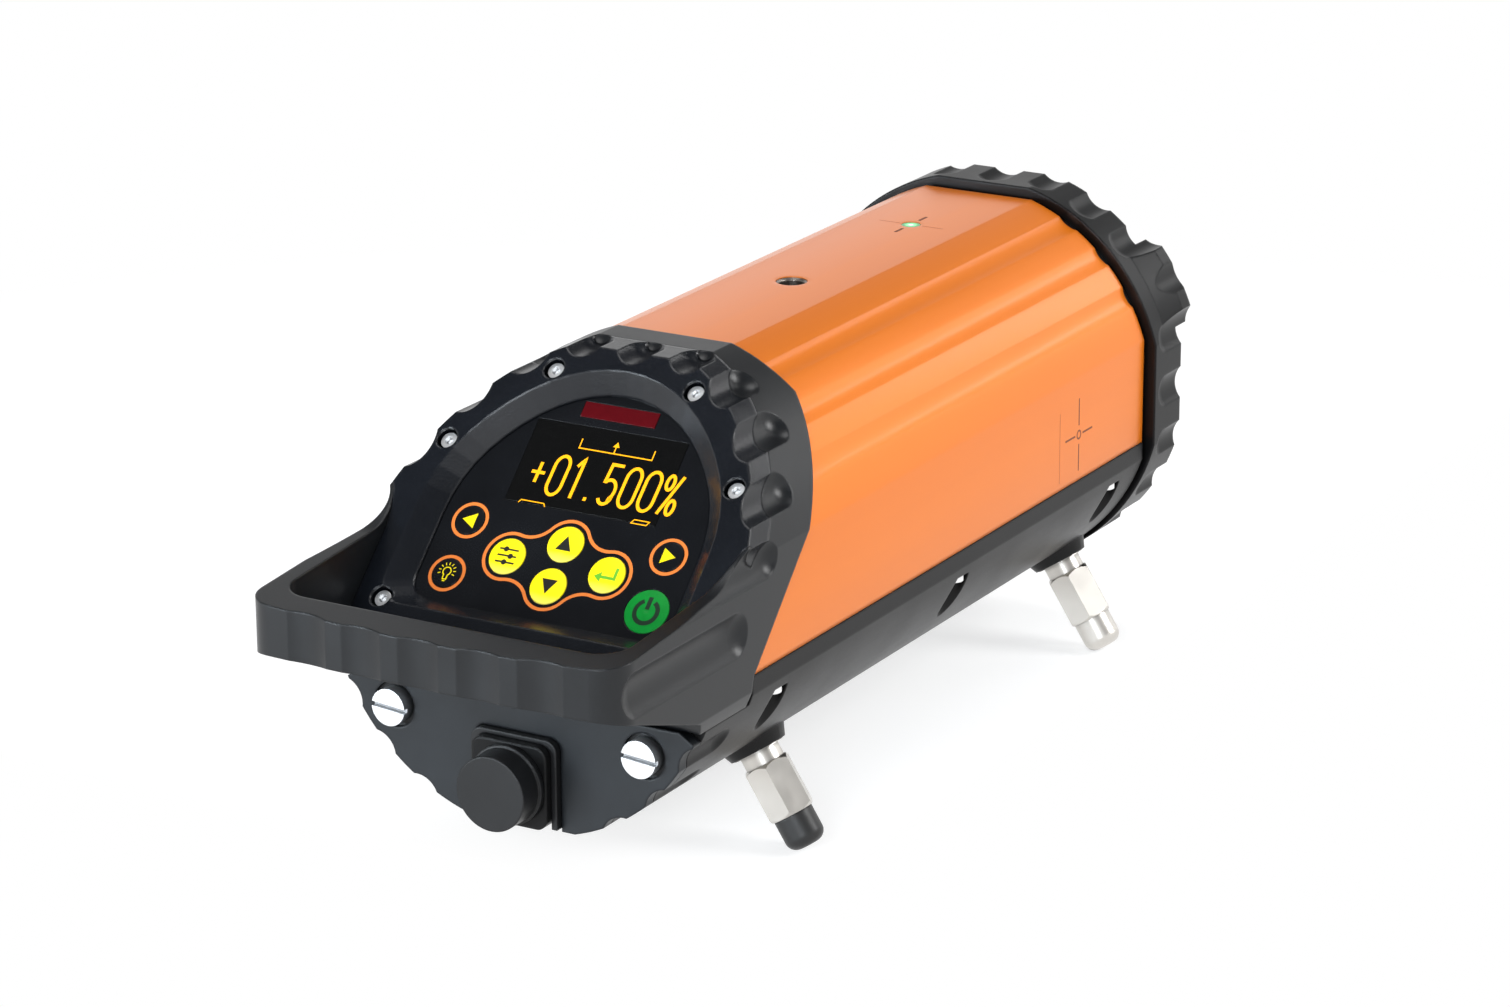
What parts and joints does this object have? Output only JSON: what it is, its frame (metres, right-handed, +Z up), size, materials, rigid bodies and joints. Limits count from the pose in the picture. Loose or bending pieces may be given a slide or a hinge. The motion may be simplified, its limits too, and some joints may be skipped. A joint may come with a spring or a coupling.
{
  "type": "pipe laser",
  "caption": "Tube-shaped pipe laser with a front beam window, sloping rear keypad, carry handle, rear battery module and angled screw feet.",
  "frame": {"origin": "centre of the bounding box at floor level, under the feet", "axes": "+Y along the beam, out of the front window; +Z up; +X to the right seen from the keypad end"},
  "size_m": [0.1292, 0.3609, 0.15],
  "materials": {
    "orange_paint": "satin metallic paint",
    "chassis_grey": "fine textured dark grey coating",
    "cap_grey": "fine textured dark grey",
    "bezel_grey": "grained dark grey",
    "ring_black": "matt black",
    "seal_rubber": "soft black",
    "screw_steel": "plated",
    "window_glass": "clear",
    "plumb_green": "green tinted",
    "nickel": "brushed nickel plate",
    "foot_rubber": "matt black",
    "panel_black": "flat black membrane",
    "display_black": "black window",
    "ir_red": "deep red window",
    "key_yellow": "yellow",
    "key_green": "green",
    "contact_metal": "plated",
    "board_green": "board",
    "battery_plastic": "dark grey",
    "frame_alloy": "machined",
    "barrel_black": "black anodised"
  },
  "bodies": {
    "housing": {"shell": "orange_paint", "base_frame": "chassis_grey", "rear_cap": "cap_grey", "keypad_bezel": "bezel_grey", "bezel_screws": "screw_steel", "base_screws": "screw_steel", "front_ring": "ring_black", "front_bulkhead": "seal_rubber", "front_window": "window_glass", "window_retainer": "ring_black", "ring_screws": "screw_steel", "top_insert": "nickel", "plumb_window": "plumb_green", "keypad_panel": "panel_black", "display_window": "display_black", "display_module": "board_green", "ir_window": "ir_red", "key_domes": "contact_metal", "keypad_board": "board_green", "battery_contacts": "contact_metal", "foot_bushes": "nickel", "pivot_frame": "frame_alloy", "line_motor": "frame_alloy", "drive_bracket": "frame_alloy", "main_board": "board_green"},
    "key_set_body": {"key_set": "key_yellow"},
    "key_enter_body": {"key_enter": "key_yellow"},
    "key_up_body": {"key_up": "key_yellow"},
    "key_down_body": {"key_down": "key_yellow"},
    "key_left_body": {"key_left": "panel_black"},
    "key_right_body": {"key_right": "panel_black"},
    "key_light_body": {"key_light": "panel_black"},
    "key_power_body": {"key_power": "key_green"},
    "tip_front_left": {"foot_tip_front_left": "nickel"},
    "leg_front_left": {"foot_leg_front_left": "nickel"},
    "tip_front_right": {"foot_tip_front_right": "nickel"},
    "leg_front_right": {"foot_leg_front_right": "nickel"},
    "tip_rear_left": {"foot_tip_rear_left": "foot_rubber"},
    "leg_rear_left": {"foot_leg_rear_left": "nickel"},
    "tip_rear_right": {"foot_tip_rear_right": "foot_rubber"},
    "leg_rear_right": {"foot_leg_rear_right": "nickel"},
    "battery_module": {"battery_door": "chassis_grey", "battery_pack": "battery_plastic", "socket_block": "ring_black", "socket_seal": "seal_rubber", "socket_pins": "contact_metal"},
    "plug_cap": {"socket_cap": "seal_rubber"},
    "stud_left": {"door_screw_left": "screw_steel"},
    "stud_right": {"door_screw_right": "screw_steel"},
    "line_stage": {"line_frame": "frame_alloy", "grade_motor": "frame_alloy"},
    "optics": {"laser_barrel": "barrel_black", "collimator_lens": "window_glass", "laser_diode": "contact_metal", "tilt_sensor": "frame_alloy"},
    "grade_spindle": {"grade_screw": "nickel"},
    "grade_carrier": {"grade_nut": "contact_metal"},
    "line_spindle": {"line_screw": "nickel"},
    "line_carrier": {"line_nut": "contact_metal"}
  },
  "joints": [
    {"name": "press_set", "type": "slide", "parent": "housing", "child": "key_set_body", "axis": [0, 0.7071, -0.7071], "range_m": [0, 0.0006], "stiffness_N_per_m": 900, "springref_m": -0.0003},
    {"name": "press_enter", "type": "slide", "parent": "housing", "child": "key_enter_body", "axis": [0, 0.7071, -0.7071], "range_m": [0, 0.0006], "stiffness_N_per_m": 900, "springref_m": -0.0003},
    {"name": "press_up", "type": "slide", "parent": "housing", "child": "key_up_body", "axis": [0, 0.7071, -0.7071], "range_m": [0, 0.0006], "stiffness_N_per_m": 900, "springref_m": -0.0003},
    {"name": "press_down", "type": "slide", "parent": "housing", "child": "key_down_body", "axis": [0, 0.7071, -0.7071], "range_m": [0, 0.0006], "stiffness_N_per_m": 900, "springref_m": -0.0003},
    {"name": "press_left", "type": "slide", "parent": "housing", "child": "key_left_body", "axis": [0, 0.7071, -0.7071], "range_m": [0, 0.0006], "stiffness_N_per_m": 900, "springref_m": -0.0003},
    {"name": "press_right", "type": "slide", "parent": "housing", "child": "key_right_body", "axis": [0, 0.7071, -0.7071], "range_m": [0, 0.0006], "stiffness_N_per_m": 900, "springref_m": -0.0003},
    {"name": "press_light", "type": "slide", "parent": "housing", "child": "key_light_body", "axis": [0, 0.7071, -0.7071], "range_m": [0, 0.0006], "stiffness_N_per_m": 900, "springref_m": -0.0003},
    {"name": "press_power", "type": "slide", "parent": "housing", "child": "key_power_body", "axis": [0, 0.7071, -0.7071], "range_m": [0, 0.0006], "stiffness_N_per_m": 900, "springref_m": -0.0003},
    {"name": "reach_front_left", "type": "slide", "parent": "housing", "child": "tip_front_left", "axis": [-0.5432, 0, -0.8396], "range_m": [-0.004, 0.006]},
    {"name": "turn_front_left", "type": "hinge", "parent": "tip_front_left", "child": "leg_front_left", "pos_m": [-0.04345, 0.1412, 0.01882], "axis": [-0.5432, 0, -0.8396], "range_deg": [-724, 1084]},
    {"name": "reach_front_right", "type": "slide", "parent": "housing", "child": "tip_front_right", "axis": [0.5432, 0, -0.8396], "range_m": [-0.004, 0.006]},
    {"name": "turn_front_right", "type": "hinge", "parent": "tip_front_right", "child": "leg_front_right", "pos_m": [0.04345, 0.1412, 0.01882], "axis": [0.5432, 0, -0.8396], "range_deg": [-724, 1084]},
    {"name": "reach_rear_left", "type": "slide", "parent": "housing", "child": "tip_rear_left", "axis": [-0.5432, 0, -0.8396], "range_m": [-0.004, 0.006]},
    {"name": "turn_rear_left", "type": "hinge", "parent": "tip_rear_left", "child": "leg_rear_left", "pos_m": [-0.04345, -0.0576, 0.01882], "axis": [-0.5432, 0, -0.8396], "range_deg": [-724, 1084]},
    {"name": "reach_rear_right", "type": "slide", "parent": "housing", "child": "tip_rear_right", "axis": [0.5432, 0, -0.8396], "range_m": [-0.004, 0.006]},
    {"name": "turn_rear_right", "type": "hinge", "parent": "tip_rear_right", "child": "leg_rear_right", "pos_m": [0.04345, -0.0576, 0.01882], "axis": [0.5432, 0, -0.8396], "range_deg": [-724, 1084]},
    {"name": "battery_withdraw", "type": "slide", "parent": "housing", "child": "battery_module", "axis": [0, -1, 0], "range_m": [0, 0.1]},
    {"name": "cap_pull", "type": "slide", "parent": "battery_module", "child": "plug_cap", "axis": [0, -1, 0], "range_m": [0, 0.02]},
    {"name": "stud_turn_left", "type": "hinge", "parent": "battery_module", "child": "stud_left", "pos_m": [-0.0424, -0.131, 0.05249], "axis": [0, -1, 0], "range_deg": [0, 90]},
    {"name": "stud_turn_right", "type": "hinge", "parent": "battery_module", "child": "stud_right", "pos_m": [0.0424, -0.131, 0.05249], "axis": [0, -1, 0], "range_deg": [0, 90]},
    {"name": "line_swing", "type": "hinge", "parent": "housing", "child": "line_stage", "pos_m": [0, 0.1044, 0.08599], "axis": [0, 0, 1], "range_deg": [-5, 5]},
    {"name": "grade_tilt", "type": "hinge", "parent": "line_stage", "child": "optics", "pos_m": [0, 0.1044, 0.08599], "axis": [1, 0, 0], "range_deg": [-6, 14]},
    {"name": "grade_travel", "type": "slide", "parent": "line_stage", "child": "grade_carrier", "axis": [0, 0, -1], "range_m": [-0.00861, 0.02009]},
    {"name": "grade_spin", "type": "hinge", "parent": "line_stage", "child": "grade_spindle", "pos_m": [0, 0.015, 0.08599], "axis": [0, 0, -1], "range_deg": [-787, 1810]},
    {"name": "line_travel", "type": "slide", "parent": "housing", "child": "line_carrier", "axis": [1, 0, 0], "range_m": [-0.00876, 0.00876]},
    {"name": "line_spin", "type": "hinge", "parent": "housing", "child": "line_spindle", "pos_m": [0, -0.003, 0.05749], "axis": [1, 0, 0], "range_deg": [-801, 801]}
  ],
  "couplings": [
    {"joint": "turn_front_left", "follows": "reach_front_left", "rad_per_m": 3141.6},
    {"joint": "turn_front_right", "follows": "reach_front_right", "rad_per_m": 3141.6},
    {"joint": "turn_rear_left", "follows": "reach_rear_left", "rad_per_m": 3141.6},
    {"joint": "turn_rear_right", "follows": "reach_rear_right", "rad_per_m": 3141.6},
    {"joint": "grade_travel", "follows": "grade_tilt", "m_per_rad": 0.0814},
    {"joint": "grade_spin", "follows": "grade_tilt", "ratio": 127.86},
    {"joint": "line_travel", "follows": "line_swing", "m_per_rad": 0.0994},
    {"joint": "line_spin", "follows": "line_swing", "ratio": 156.14}
  ]
}
